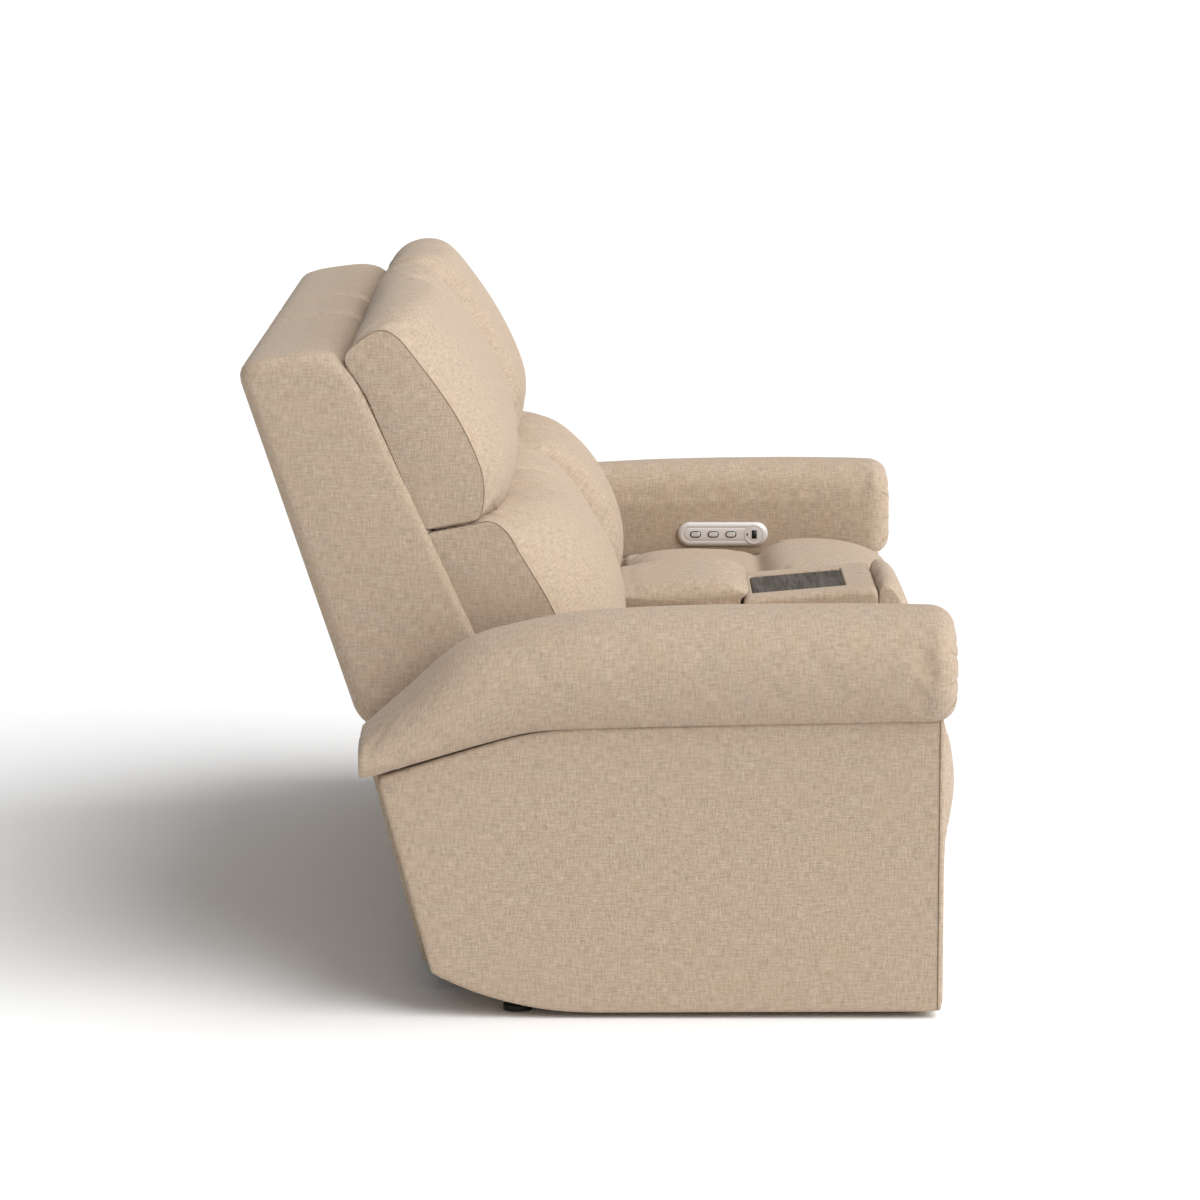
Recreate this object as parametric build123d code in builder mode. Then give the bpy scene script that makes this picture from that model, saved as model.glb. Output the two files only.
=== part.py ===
from build123d import *
import os
from math import sin, cos, radians

os.makedirs("parts", exist_ok=True)

# Two-seat power recliner with a fixed storage console between the seats.
# X runs across, the front faces -Y, Z is up from the floor, all in millimetres.

# Driving sizes across the width
console_width = 286.0
seat_width = 600.0
side_gap = 6.0
arm_thickness = 160.0
roll_overhang = 35.0

# Driving sizes of the seat and its mechanism
deck_height = 358.0
plate_inset = 35.0
steel = 4.0
layer_gap = 1.0
pin_width = 10.0
play = 0.3
link_length = 150.0
link_width = 26.0
fold_angle = 80.0
crank_length = 62.0
crank_turn = 65.0
rail_height = 70.0
foot_height = 25.0

# Driving sizes of the back, the padding and the controls
shell_lift = 29.0
board_thickness = 16.0
panel_thickness = 16.0
pad_gap = 14.0
paddle_thickness = 8.0
pod_length = 158.0
pod_height = 46.0
pod_depth = 10.0
rocker_length = 16.0
rocker_height = 8.0

# Places that follow from the driving sizes
console_half = console_width / 2
seat_mid = console_half + side_gap + seat_width / 2
arm_inner = console_half + 2 * side_gap + seat_width
arm_outer = arm_inner + arm_thickness
plate_out = seat_width / 2 - plate_inset
cushion_half = seat_width / 2 - 12
frame_half = seat_width / 2 - 15
rail_top = foot_height + rail_height
channel_height = 38.0
frame_height = 24.0
seat_base = deck_height + frame_height
shell_bottom = deck_height + shell_lift
pivot = (246.0, deck_height - 28)
lift_pin = (-394.0, deck_height - 16)
guide_step = (25.0, -23.0)
bore = pin_width + 2 * play
sides = ((-1, "left"), (1, "right"))


def layer(number):
    """Inner and outer distance of a flat steel layer from the middle of its seat."""
    outer = plate_out - number * (steel + layer_gap)
    return outer - steel, outer


def span(middle, side, inner, outer):
    """Lowest X of the strip between two distances on one side of a middle."""
    if side > 0:
        return middle + inner
    return middle - outer


def front_of_shell(height):
    """Y of the sloping front of the back shell at a height."""
    return 344.0 - (deck_height + 526 - height) * 0.4567


def rear_of_shell(height):
    """Y of the sloping rear of the back shell at a height."""
    return 525.0 - (deck_height + 557 - height) * 0.32


def shell_outline(shrink):
    """Side outline of a back shell, drawn in towards its middle by a factor."""
    points = (
        (344, deck_height + 526),
        (front_of_shell(shell_bottom), shell_bottom),
        (rear_of_shell(shell_bottom), shell_bottom),
        (525, deck_height + 557),
        (516, deck_height + 567),
        (497, deck_height + 571),
        (402, deck_height + 585),
        (366, deck_height + 564),
    )
    centre = deck_height + 307
    return [(330 + (y - 330) * shrink, centre + (z - centre) * shrink) for y, z in points]


def above(points):
    """Outline points given as Y and height over the seat deck, as Y and Z."""
    return [(along, deck_height + height) for along, height in points]


def between(low, high, share):
    """Points between a side outline and the fuller outline of the middle."""
    return [
        (a[0] + (b[0] - a[0]) * share, a[1] + (b[1] - a[1]) * share)
        for a, b in zip(low, high)
    ]


# The folded links: the lift link hangs from the carriage and the reach link rises to the footrest.
fold = radians(fold_angle)
elbow = (lift_pin[0] - link_length * cos(fold), lift_pin[1] - link_length * sin(fold))
foot_pin = (elbow[0] - link_length * cos(fold), elbow[1] + link_length * sin(fold))
guide_pin = (lift_pin[0] + guide_step[0], lift_pin[1] + guide_step[1])
guide_elbow = (elbow[0] + guide_step[0], elbow[1] + guide_step[1])
board_rear = foot_pin[0] - 16
board_front = board_rear - board_thickness
board_top = foot_pin[1] + 46
board_bottom = 75.0
swing = radians(crank_turn / 2)
crank_end = (lift_pin[0] + crank_length * sin(swing), lift_pin[1] - crank_length * cos(swing))
spindle_height = deck_height - 113

# Timber rails that tie the arms and the console together
with BuildPart() as base_rails:
    for rail_middle in (-407.5, 127.5):
        with BuildSketch(Plane.XY.offset(foot_height)):
            with Locations((0, rail_middle)):
                Rectangle(2 * arm_inner, 25)
        extrude(amount=rail_height)
base_rails.part.label = "base_rails"
export_step(base_rails.part, "parts/base_rails.step")

# Plastic glides: stems seat in the arms, and against the rails under the console
glide_places = []
for side, hand in sides:
    for along in (-430.0, 127.0):
        glide_places.append((side * (arm_inner + arm_thickness * 0.6), along, 40.0))
    for along in (-407.5, 127.5):
        glide_places.append((side * 60.0, along, foot_height))
with BuildPart() as glides:
    for across, along, top in glide_places:
        with BuildSketch(Plane.XY):
            with Locations((across, along)):
                Circle(21)
        extrude(amount=8)
        with BuildSketch(Plane.XY.offset(8)):
            with Locations((across, along)):
                Circle(12)
        extrude(amount=top - 8)
glides.part.label = "glides"
export_step(glides.part, "parts/glides.step")

# Steel channels, open towards the seat middle, that the carriages run in
channel_in = plate_out + 3
channel_out = channel_in + 16
with BuildPart() as slide_rails:
    for seat_side, hand in sides:
        for side in (-1, 1):
            middle = seat_side * seat_mid
            low = span(middle, side, channel_in, channel_out)
            with BuildSketch(Plane.YZ.offset(low)):
                with Locations((-90, rail_top + channel_height / 2)):
                    Rectangle(670, channel_height)
            extrude(amount=16)
            low = span(middle, side, channel_in, channel_out - 3)
            with BuildSketch(Plane.YZ.offset(low)):
                with Locations((-90, rail_top + channel_height / 2)):
                    Rectangle(670, channel_height - 6)
            extrude(amount=13, mode=Mode.SUBTRACT)
slide_rails.part.label = "slide_rails"
export_step(slide_rails.part, "parts/slide_rails.step")

# Fixed lower part of the outside back, leaning with the back above it
with BuildPart() as rear_panel:
    with BuildSketch(Plane.YZ.offset(-arm_inner)):
        with BuildLine():
            panel_top = shell_bottom - 17
            panel_rear = rear_of_shell(shell_bottom) - 5
            Polyline(
                (panel_rear, panel_top),
                (panel_rear - 0.262 * (panel_top - 45), 45),
                (panel_rear - 0.262 * (panel_top - 45) - panel_thickness, 45),
                (panel_rear - panel_thickness, panel_top),
                close=True,
            )
        make_face()
    extrude(amount=2 * arm_inner)
rear_panel.part.label = "rear_panel"
export_step(rear_panel.part, "parts/rear_panel.step")

# Arms: a box with its lower rear corner swept up, under a fat roll that overhangs outwards
arm_top = above([(-484.0, 80.0), (98.0, 67.0), (327.0, 0.0)])
for side, hand in sides:
    low = span(0, side, arm_inner, arm_outer)
    with BuildPart() as arm_body:
        with BuildSketch(Plane.YZ.offset(low)):
            with BuildLine():
                Polyline(*arm_top, (250, 66))
                ThreePointArc((250, 66), (160, 31), (60, 10))
                Polyline((60, 10), (-484, 10), arm_top[0])
            make_face()
        extrude(amount=arm_thickness)
        front_edges = arm_body.edges().filter_by(Axis.Z).group_by(Axis.Y)[0]
        fillet(front_edges, 10)
        for along in (-430.0, 127.0):
            with BuildSketch(Plane.XY):
                with Locations((side * (arm_inner + arm_thickness * 0.6), along)):
                    Circle(12 + play)
            extrude(amount=40, mode=Mode.SUBTRACT)
    arm_body.part.label = hand + "_arm_body"
    export_step(arm_body.part, "parts/" + hand + "_arm_body.step")

    # The roll swells from a flat inner side over its crown to a full outer side
    stations = (
        (-504, 104, 204, 24),
        (-495, 86, 224, 9),
        (-474, 70, 230, 0),
        (-300, 66, 232, 0),
        (0, 60, 224, 0),
        (100, 54, 210, 0),
        (185, 32, 188, 0),
        (255, 10, 138, 0),
        (345, -16, 50, 0),
    )
    with BuildPart() as arm_pad:
        for along, low_edge, high_edge, draw in stations:
            bottom = deck_height + low_edge
            rise = high_edge - low_edge
            inner = side * (arm_inner + draw)
            under = side * (arm_outer - draw)
            full = side * (arm_outer + roll_overhang - draw)
            top = side * (arm_inner + arm_thickness * 0.58)
            shoulder = side * (arm_outer + roll_overhang * 0.5 - draw)
            with BuildSketch(Plane.XZ.offset(-along)):
                with BuildLine():
                    Polyline((under, bottom), (inner, bottom), (inner, bottom + 0.7 * rise))
                    ThreePointArc(
                        (inner, bottom + 0.7 * rise), (top, bottom + rise), (shoulder, bottom + 0.76 * rise)
                    )
                    ThreePointArc(
                        (shoulder, bottom + 0.76 * rise), (full, bottom + 0.46 * rise), (under, bottom)
                    )
                make_face()
        loft(ruled=True)
        with BuildSketch(Plane.YZ.offset(span(0, side, arm_inner - 5, arm_outer))):
            with BuildLine():
                slope = (arm_top[2][1] - arm_top[1][1]) / (arm_top[2][0] - arm_top[1][0])
                tilt = (arm_top[1][1] - arm_top[0][1]) / (arm_top[1][0] - arm_top[0][0])
                Polyline(
                    (-520, arm_top[0][1] - 36 * tilt),
                    arm_top[1],
                    (360, arm_top[1][1] + (360 - arm_top[1][0]) * slope),
                    (360, deck_height - 108),
                    (-520, deck_height - 108),
                    close=True,
                )
            make_face()
        extrude(amount=arm_thickness + 5, mode=Mode.SUBTRACT)
    arm_pad.part.label = hand + "_arm_pad"
    export_step(arm_pad.part, "parts/" + hand + "_arm_pad.step")

# Control pods: a capsule on the inner side of each arm, with rocker pockets and a socket
pod_middle = (-208.0, deck_height + 108)
rocker_places = (("recline", -222.0), ("headrest", -191.0), ("lumbar", -160.0))
socket_place = pod_middle[0] - pod_length / 2 + 24
for side, hand in sides:
    with BuildPart() as control_pod:
        low = span(0, side, arm_inner - pod_depth, arm_inner)
        with BuildSketch(Plane.YZ.offset(low)):
            with Locations(pod_middle):
                SlotOverall(pod_length, pod_height)
        extrude(amount=pod_depth)
        inner_face = control_pod.faces().sort_by(Axis.X)[0 if side > 0 else -1]
        chamfer(inner_face.edges(), 3)
        low = span(0, side, arm_inner - pod_depth, arm_inner - 3)
        with BuildSketch(Plane.YZ.offset(low)):
            for use, along in rocker_places:
                with Locations((along, pod_middle[1])):
                    SlotOverall(rocker_length + 1.6, rocker_height + 1.6)
        extrude(amount=pod_depth - 3, mode=Mode.SUBTRACT)
        with BuildSketch(Plane.YZ.offset(low)):
            with Locations((socket_place, pod_middle[1])):
                Rectangle(9, 15)
        extrude(amount=pod_depth - 3, mode=Mode.SUBTRACT)
    control_pod.part.label = hand + "_control_pod"
    export_step(control_pod.part, "parts/" + hand + "_control_pod.step")

    # Each rocker is a small oval cap with a domed rim, on an upright pin, free in its pocket
    for use, along in rocker_places:
        with BuildPart() as rocker:
            low = span(0, side, arm_inner - pod_depth - 2, arm_inner - pod_depth + 4.5)
            with BuildSketch(Plane.YZ.offset(low)):
                with Locations((along, pod_middle[1])):
                    SlotOverall(rocker_length, rocker_height)
            extrude(amount=6.5)
            cap = rocker.faces().sort_by(Axis.X)[0 if side > 0 else -1]
            fillet(cap.edges(), 1.2)
            pin_place = (side * (arm_inner - pod_depth + 3), along)
            with BuildSketch(Plane.XY.offset(pod_middle[1] - rocker_height / 2 - 0.4)):
                with Locations(pin_place):
                    Circle(1.5)
            extrude(amount=rocker_height + 0.8)
        rocker.part.label = hand + "_" + use + "_rocker"
        export_step(rocker.part, "parts/" + hand + "_" + use + "_rocker.step")

# Charging sockets: open-fronted inserts pressed into the pods
with BuildPart() as usb_ports:
    for side, hand in sides:
        low = span(0, side, arm_inner - pod_depth - 0.4, arm_inner - 3)
        with BuildSketch(Plane.YZ.offset(low)):
            with Locations((socket_place, pod_middle[1])):
                Rectangle(9, 15)
        extrude(amount=pod_depth - 2.6)
        low = span(0, side, arm_inner - pod_depth - 0.4, arm_inner - 5)
        with BuildSketch(Plane.YZ.offset(low)):
            with Locations((socket_place, pod_middle[1])):
                Rectangle(5.6, 12.4)
        extrude(amount=pod_depth - 4.6, mode=Mode.SUBTRACT)
usb_ports.part.label = "usb_ports"
export_step(usb_ports.part, "parts/usb_ports.step")

# Console: a fixed box with a storage bin, a sloping front deck and a tray recess
rim_height = deck_height + 108
lid_pin = (-36.0, rim_height + 16)
console_in = console_half - 2


def deck_slope(along):
    """Height of the sloping front deck of the console."""
    return rim_height + 24 - (along + 226.0) * 0.088


with BuildPart() as console_body:
    with BuildSketch(Plane.YZ.offset(-console_in)):
        with BuildLine():
            Polyline(
                (-430, rail_top),
                (255, rail_top),
                (325, shell_bottom),
                (-16, shell_bottom),
                (-16, rim_height),
                (-224, rim_height),
                (-224, deck_slope(-224)),
                (-430, deck_slope(-430)),
                close=True,
            )
        make_face()
    extrude(amount=2 * console_in)
    with BuildSketch(Plane.XY.offset(rim_height)):
        with Locations((0, -134)):
            RectangleRounded(2 * console_in - 72, 148, 12)
    extrude(amount=-250, mode=Mode.SUBTRACT)
    with BuildSketch(Plane.YZ.offset(-92)):
        with BuildLine():
            Polyline(
                (-234, deck_slope(-234) - 14),
                (-382, deck_slope(-382) - 14),
                (-382, deck_slope(-382) + 60),
                (-234, deck_slope(-234) + 60),
                close=True,
            )
        make_face()
    extrude(amount=184, mode=Mode.SUBTRACT)
console_body.part.label = "console_body"
export_step(console_body.part, "parts/console_body.step")

# Wood-grain tray: a shallow dished insert on the floor of its recess
with BuildPart() as tray:
    with BuildSketch(Plane.YZ.offset(-91)):
        with BuildLine():
            Polyline(
                (-235, deck_slope(-235) - 14),
                (-381, deck_slope(-381) - 14),
                (-381, deck_slope(-381) - 1),
                (-235, deck_slope(-235) - 1),
                close=True,
            )
        make_face()
    extrude(amount=182)
    with BuildSketch(Plane.YZ.offset(-83)):
        with BuildLine():
            Polyline(
                (-243, deck_slope(-243) - 9),
                (-373, deck_slope(-373) - 9),
                (-373, deck_slope(-373) + 60),
                (-243, deck_slope(-243) + 60),
                close=True,
            )
        make_face()
    extrude(amount=166, mode=Mode.SUBTRACT)
tray.part.label = "tray"
export_step(tray.part, "parts/tray.step")

# Padded lid: crowned over a flat underside, notched at the rear for its hinge
lid_side = [(-216, 4), (-216, 30), (-204, 39), (-150, 42), (-20, 28), (-20, 16), (-36, 4)]
lid_full = [(-217, 2), (-219, 34), (-203, 48), (-150, 51), (-20, 36), (-20, 16), (-36, 2)]
lid_side = [(along, rim_height + height) for along, height in lid_side]
lid_full = [(along, rim_height + height) for along, height in lid_full]
with BuildPart() as console_lid:
    for across, share in ((-console_half, 0.0), (-console_half * 0.75, 0.8), (0, 1.0),
                          (console_half * 0.75, 0.8), (console_half, 0.0)):
        edge = between(lid_side, lid_full, share)
        with BuildSketch(Plane.YZ.offset(across)):
            with BuildLine():
                Polyline(edge[0], edge[1])
                ThreePointArc(edge[1], (edge[1][0] * 0.4 + edge[2][0] * 0.6 - 2, edge[2][1] - 3), edge[2])
                ThreePointArc(edge[2], edge[3], edge[4])
                Polyline(edge[4], edge[5], edge[6], edge[0])
            make_face()
    loft()
    with BuildSketch(Plane.YZ.offset(-40)):
        with BuildLine():
            notch_top = lid_pin[1] + 8.5
            Polyline(
                (lid_pin[0] - 26, rim_height - 20),
                (lid_pin[0] - 26, notch_top),
                (lid_pin[0] + 26, notch_top),
                (lid_pin[0] + 26, rim_height - 20),
                close=True,
            )
        make_face()
    extrude(amount=80, mode=Mode.SUBTRACT)
    with BuildSketch(Plane.YZ.offset(-56)):
        with Locations(lid_pin):
            Circle(4 + play)
    extrude(amount=112, mode=Mode.SUBTRACT)
console_lid.part.label = "console_lid"
export_step(console_lid.part, "parts/console_lid.step")

# Lid hinge: two ears on a foot behind the bin, carrying one pin
with BuildPart() as lid_hinge:
    with BuildSketch(Plane.XY.offset(rim_height)):
        with Locations((0, lid_pin[0] - 6)):
            Rectangle(68, 30)
    extrude(amount=3)
    for low in (-34.0, 30.0):
        with BuildSketch(Plane.YZ.offset(low)):
            with Locations(lid_pin):
                Circle(7.5)
            with Locations((lid_pin[0], (lid_pin[1] + rim_height) / 2)):
                Rectangle(12, lid_pin[1] - rim_height)
        extrude(amount=4)
    with BuildSketch(Plane.YZ.offset(-54)):
        with Locations(lid_pin):
            Circle(4)
    extrude(amount=108)
lid_hinge.part.label = "lid_hinge"
export_step(lid_hinge.part, "parts/lid_hinge.step")

# Console cap: the upholstered front of the console, bulging like the footrests beside it
cap_low = foot_height + 19
cap_side = above([(-430, 154), (-440, 160), (-458, 148), (-488, 82), (-500, 2), (-508, -68), (-500, -133)])
cap_full = above([(-430, 162), (-444, 171), (-466, 155), (-497, 82), (-512, 2), (-525, -68), (-513, -133)])
cap_side = [(-430, cap_low)] + cap_side + [(-494, cap_low)]
cap_full = [(-430, cap_low)] + cap_full + [(-504, cap_low)]
with BuildPart() as console_cap:
    for across, share in ((-console_in, 0.0), (-console_in * 0.7, 0.85), (0, 1.0),
                          (console_in * 0.7, 0.85), (console_in, 0.0)):
        edge = between(cap_side, cap_full, share)
        with BuildSketch(Plane.YZ.offset(across)):
            with BuildLine():
                Polyline(edge[0], edge[1])
                ThreePointArc(edge[1], edge[2], edge[3])
                ThreePointArc(edge[3], edge[4], edge[5])
                ThreePointArc(edge[5], edge[6], edge[7])
                Polyline(edge[7], edge[8], edge[0])
            make_face()
    loft()
console_cap.part.label = "console_cap"
export_step(console_cap.part, "parts/console_cap.step")

# Power supply: a finned box under the console with a low-voltage inlet
with BuildPart() as power_supply:
    with BuildSketch(Plane.XY.offset(rail_top)):
        with Locations((0, -45)):
            RectangleRounded(110, 170, 8)
    extrude(amount=-42)
    with BuildSketch(Plane.XY.offset(rail_top - 42)):
        with Locations((0, -45)):
            with GridLocations(0, 16, 1, 7):
                Rectangle(90, 6)
    extrude(amount=4, mode=Mode.SUBTRACT)
    with BuildSketch(Plane.XZ.offset(-40)):
        with Locations((0, rail_top - 21)):
            Circle(6)
    extrude(amount=14, mode=Mode.SUBTRACT)
power_supply.part.label = "power_supply"
export_step(power_supply.part, "parts/power_supply.step")

# Outlines of the padding on the backs, at the side seams and at the fuller middle
head_side = above([(188, 354), (180, 422), (245, 538), (322, 617), (346, 604), (356, 567), (174, 387)])
head_full = above([(155, 354), (140, 437), (214, 576), (310, 656), (350, 632), (358, 572), (133, 392)])
lumbar_side = above([(60, 67), (66, 197), (110, 277), (150, 332), (52, 137)])
lumbar_full = above([(-14, 67), (-24, 182), (15, 270), (82, 332), (-33, 130)])
head_bottom = deck_height + 354
head_seat = deck_height + 510
lumbar_bottom = deck_height + 67
lumbar_top = deck_height + 332
rod_height = deck_height + 202

# The console back stands on the console and keeps the outline of the seat backs
with BuildPart() as console_back:
    for across, shrink in ((-console_half, 0.96), (10 - console_half, 1.0),
                           (console_half - 10, 1.0), (console_half, 0.96)):
        edge = shell_outline(shrink)
        with BuildSketch(Plane.YZ.offset(across)):
            with BuildLine():
                Polyline(edge[0], edge[1], edge[2], edge[3])
                ThreePointArc(edge[3], edge[4], edge[5])
                Line(edge[5], edge[6])
                ThreePointArc(edge[6], edge[7], edge[0])
            make_face()
    loft(ruled=True)
console_back.part.label = "console_back"
export_step(console_back.part, "parts/console_back.step")

pad_stations = ((-1.0, 0.0), (-0.8, 0.5), (0.0, 0.66), (0.8, 0.5), (1.0, 0.0))
with BuildPart() as console_head_pad:
    for reach, share in pad_stations:
        edge = between(head_side, head_full, share)
        with BuildSketch(Plane.YZ.offset(reach * console_in)):
            with BuildLine():
                ThreePointArc(edge[1], edge[6], edge[0])
                Polyline(
                    edge[0],
                    (front_of_shell(head_bottom), head_bottom),
                    (front_of_shell(head_seat), head_seat),
                    edge[5],
                )
                ThreePointArc(edge[5], edge[4], edge[3])
                ThreePointArc(edge[3], edge[2], edge[1])
            make_face()
    loft()
console_head_pad.part.label = "console_head_pad"
export_step(console_head_pad.part, "parts/console_head_pad.step")

with BuildPart() as console_lumbar_pad:
    for reach, share in pad_stations:
        edge = between(lumbar_side, lumbar_full, share)
        with BuildSketch(Plane.YZ.offset(reach * console_in)):
            with BuildLine():
                ThreePointArc(edge[1], edge[4], edge[0])
                Polyline(
                    edge[0],
                    (front_of_shell(lumbar_bottom), lumbar_bottom),
                    (front_of_shell(lumbar_top), lumbar_top),
                    edge[3],
                )
                ThreePointArc(edge[3], edge[2], edge[1])
            make_face()
    loft()
console_lumbar_pad.part.label = "console_lumbar_pad"
export_step(console_lumbar_pad.part, "parts/console_lumbar_pad.step")

# The two seats, each on its own carriage
seat_side = above([(-38, 76), (-150, 84), (-258, 79), (-330, 98), (-415, 94), (-468, 72)])
seat_full = above([(-38, 104), (-150, 120), (-258, 112), (-330, 142), (-420, 136), (-480, 97)])
seat_side = seat_side + [(-494, board_top + pad_gap)]
seat_full = seat_full + [(-506, board_top + pad_gap)]
crown = ((-1.0, 0.0), (-0.82, 0.72), (0.0, 1.0), (0.82, 0.72), (1.0, 0.0))
lean = ((-1.0, 0.5), (-0.85, 0.8), (-0.45, 0.95), (0.1, 0.97), (0.75, 0.72), (1.0, 0.0))
for side, hand in sides:
    middle = side * seat_mid

    # Welded carriage: two side plates with pivots and runner shoes, tied by square bars
    with BuildPart() as carriage_frame:
        for flank in (-1, 1):
            inner, outer = layer(0)
            with BuildSketch(Plane.YZ.offset(span(middle, flank, inner, outer))):
                with BuildLine():
                    Polyline(
                        (-416, deck_height),
                        (240, deck_height),
                        (268, pivot[1] + 16),
                        (268, pivot[1] - 16),
                        (246, pivot[1] - 26),
                        (196, pivot[1] - 34),
                        (176, rail_top + 5),
                        (124, rail_top + 5),
                        (96, deck_height - 96),
                        (-196, deck_height - 96),
                        (-214, rail_top + 5),
                        (-266, rail_top + 5),
                        (-296, deck_height - 66),
                        (-382, deck_height - 60),
                        (-416, deck_height - 34),
                        close=True,
                    )
                make_face()
            extrude(amount=steel)
            for along in (-240.0, 150.0):
                with BuildSketch(Plane.YZ.offset(span(middle, flank, outer, outer + 14))):
                    with Locations((along, rail_top + channel_height / 2)):
                        Rectangle(50, channel_height - 6 - 2 * play)
                extrude(amount=14)
            with BuildSketch(Plane.YZ.offset(span(middle, flank, inner - layer_gap - steel, inner))):
                with Locations(lift_pin, guide_pin):
                    Circle(pin_width / 2)
                with Locations(pivot):
                    Circle(pin_width * 0.8)
            extrude(amount=steel + layer_gap)
        inner, outer = layer(0)
        with BuildSketch(Plane.YZ.offset(middle - inner)):
            with Locations((57.5, deck_height - 45), (-152.5, deck_height - 45)):
                Rectangle(25, 25)
        extrude(amount=2 * inner)
    carriage_frame.part.label = hand + "_carriage_frame"
    export_step(carriage_frame.part, "parts/" + hand + "_carriage_frame.step")

    # Timber seat frame with slats, on top of the side plates
    with BuildPart() as seat_frame:
        with BuildSketch(Plane.XY.offset(deck_height)):
            with Locations((middle, -178.5)):
                Rectangle(2 * frame_half, 547)
                with GridLocations(0, 160, 1, 3):
                    Rectangle(2 * frame_half - 90, 110, mode=Mode.SUBTRACT)
        extrude(amount=frame_height)
    seat_frame.part.label = hand + "_seat_frame"
    export_step(seat_frame.part, "parts/" + hand + "_seat_frame.step")

    # Seat cushion: flat underside, low tail under the lumbar cushion, raised front bolster
    with BuildPart() as seat_cushion:
        for reach, share in crown:
            edge = between(seat_side, seat_full, share)
            with BuildSketch(Plane.YZ.offset(middle + reach * cushion_half)):
                with BuildLine():
                    ThreePointArc(edge[0], edge[1], edge[2])
                    ThreePointArc(edge[2], edge[3], edge[4])
                    ThreePointArc(edge[4], edge[5], edge[6])
                    Polyline(
                        edge[6],
                        (-450, board_top + pad_gap),
                        (-450, seat_base),
                        (88, seat_base),
                        (88, seat_base + 28),
                        (-24, seat_base + 36),
                        edge[0],
                    )
                make_face()
        loft()
    seat_cushion.part.label = hand + "_seat_cushion"
    export_step(seat_cushion.part, "parts/" + hand + "_seat_cushion.step")

    # Actuator: motor housing hung from the rear cross bar, with its spindle running forward
    with BuildPart() as recline_motor:
        with BuildSketch(Plane.XZ.offset(-150)):
            with Locations((middle, spindle_height)):
                RectangleRounded(64, 60, 12)
        extrude(amount=170)
        with BuildSketch(Plane.XY.offset(spindle_height + 30)):
            with Locations((middle, 57.5)):
                Rectangle(50, 25)
        extrude(amount=deck_height - 57.5 - spindle_height - 30)
        with BuildSketch(Plane.YZ.offset(span(middle, side, 32, 102))):
            with Locations((105, spindle_height)):
                Circle(25)
        extrude(amount=70)
        with BuildSketch(Plane.XZ.offset(20)):
            with Locations((middle, spindle_height)):
                Circle(7)
        extrude(amount=-foot_pin[0] - 16)
    recline_motor.part.label = hand + "_recline_motor"
    export_step(recline_motor.part, "parts/" + hand + "_recline_motor.step")

    # Drive nut: a block on the spindle with two slotted cheeks around the crank pin
    with BuildPart() as drive_nut:
        with BuildSketch(Plane.XZ.offset(-crank_end[0] - 20)):
            with Locations((middle, spindle_height)):
                RectangleRounded(34, 30, 5)
        extrude(amount=40)
        for flank in (-1, 1):
            with BuildSketch(Plane.YZ.offset(span(middle, flank, 11, 15))):
                with BuildLine():
                    Polyline(
                        (crank_end[0] - 16, spindle_height + 10),
                        (crank_end[0] - 16, crank_end[1] + 16),
                        (crank_end[0] + 16, crank_end[1] + 16),
                        (crank_end[0] + 16, spindle_height + 10),
                        close=True,
                    )
                make_face()
                with Locations((crank_end[0], crank_end[1] - 4)):
                    SlotOverall(30, pin_width + 4, rotation=90, mode=Mode.SUBTRACT)
            extrude(amount=4)
        with BuildSketch(Plane.XZ.offset(-crank_end[0] - 20)):
            with Locations((middle, spindle_height)):
                Circle(7 + play)
        extrude(amount=40, mode=Mode.SUBTRACT)
    drive_nut.part.label = hand + "_drive_nut"
    export_step(drive_nut.part, "parts/" + hand + "_drive_nut.step")

    # Lift links: a pair of bars on a torque tube, which a crank in the middle turns
    with BuildPart() as lift_links:
        inner, outer = layer(1)
        bar_middle = ((lift_pin[0] + elbow[0]) / 2, (lift_pin[1] + elbow[1]) / 2)
        for flank in (-1, 1):
            with BuildSketch(Plane.YZ.offset(span(middle, flank, inner, outer))):
                with Locations(bar_middle):
                    SlotCenterToCenter(link_length, link_width, rotation=fold_angle)
                with Locations(elbow):
                    Circle(bore / 2, mode=Mode.SUBTRACT)
            extrude(amount=steel)
        with BuildSketch(Plane.YZ.offset(middle - inner)):
            with Locations(lift_pin):
                Circle(11)
        extrude(amount=2 * inner)
        with BuildSketch(Plane.YZ.offset(middle - 4)):
            crank_middle = ((lift_pin[0] + crank_end[0]) / 2, (lift_pin[1] + crank_end[1]) / 2)
            with Locations(crank_middle):
                SlotCenterToCenter(crank_length, 22, rotation=crank_turn / 2 - 90)
        extrude(amount=8)
        with BuildSketch(Plane.YZ.offset(middle - 18)):
            with Locations(crank_end):
                Circle(pin_width / 2)
        extrude(amount=36)
        with BuildSketch(Plane.YZ.offset(middle - outer)):
            with Locations(lift_pin):
                Circle(bore / 2)
        extrude(amount=2 * outer, mode=Mode.SUBTRACT)
    lift_links.part.label = hand + "_lift_links"
    export_step(lift_links.part, "parts/" + hand + "_lift_links.step")

    # Guide links: parallel to the lift links, keeping the elbow plates level
    with BuildPart() as guide_links:
        inner, outer = layer(1)
        bar_middle = ((guide_pin[0] + guide_elbow[0]) / 2, (guide_pin[1] + guide_elbow[1]) / 2)
        for flank in (-1, 1):
            with BuildSketch(Plane.YZ.offset(span(middle, flank, inner, outer))):
                with Locations(bar_middle):
                    SlotCenterToCenter(link_length, link_width, rotation=fold_angle)
                with Locations(guide_pin, guide_elbow):
                    Circle(bore / 2, mode=Mode.SUBTRACT)
            extrude(amount=steel)
    guide_links.part.label = hand + "_guide_links"
    export_step(guide_links.part, "parts/" + hand + "_guide_links.step")

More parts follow.
